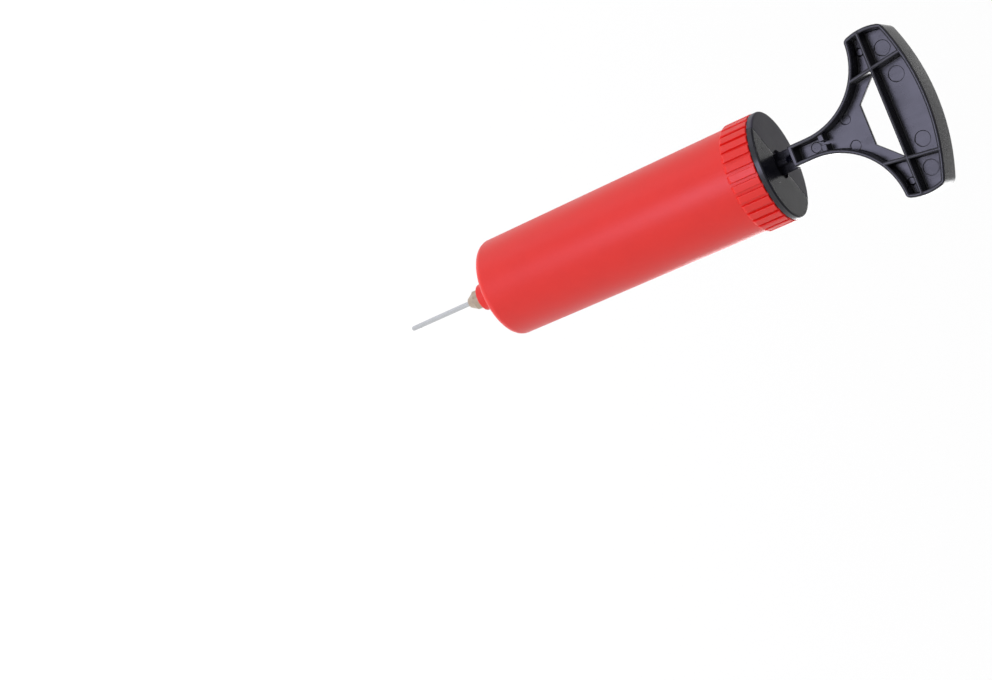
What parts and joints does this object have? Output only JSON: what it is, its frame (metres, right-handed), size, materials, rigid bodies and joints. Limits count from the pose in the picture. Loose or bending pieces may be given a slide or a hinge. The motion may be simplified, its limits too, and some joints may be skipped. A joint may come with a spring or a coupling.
{
  "type": "ball inflation pump",
  "caption": "Hand ball pump: ribbed red barrel, black T-handle plunger held by a two-part cap, disc outlet valve and a screw-in inflation needle.",
  "frame": {"origin": "on the axis, where the needle's straight tube leaves its hub", "axes": "+Z from the needle towards the handle, +X along the handle's bar"},
  "size_m": [0.0664, 0.0446, 0.2427],
  "materials": {
    "barrel_plastic": "satin",
    "black_plastic": "satin",
    "seal_rubber": "matt",
    "plated_brass": "nickel plated",
    "needle_steel": "drawn"
  },
  "bodies": {
    "barrel": {"barrel": "barrel_plastic", "valve_seat": "black_plastic", "nozzle_washer": "seal_rubber", "needle_hub": "plated_brass", "needle_tube": "needle_steel"},
    "cap": {"cap_rear_half": "black_plastic", "cap_front_half": "black_plastic"},
    "plunger": {"plunger": "black_plastic"},
    "piston_ring": {"piston_ring": "seal_rubber"},
    "outlet_valve": {"valve_disc": "seal_rubber"}
  },
  "joints": [
    {"name": "cap_spin", "type": "hinge", "parent": "barrel", "child": "cap", "pos_m": [0, 0, 0.1455], "axis": [0, 0, 1], "continuous": true},
    {"name": "plunger_stroke", "type": "slide", "parent": "cap", "child": "plunger", "axis": [0, 0, 1], "range_m": [-0.0035, 0.0985]},
    {"name": "ring_float", "type": "slide", "parent": "plunger", "child": "piston_ring", "axis": [0, 0, -1], "range_m": [0, 0.001]},
    {"name": "valve_lift", "type": "slide", "parent": "barrel", "child": "outlet_valve", "axis": [0, 0, -1], "range_m": [0, 0.0005]}
  ]
}
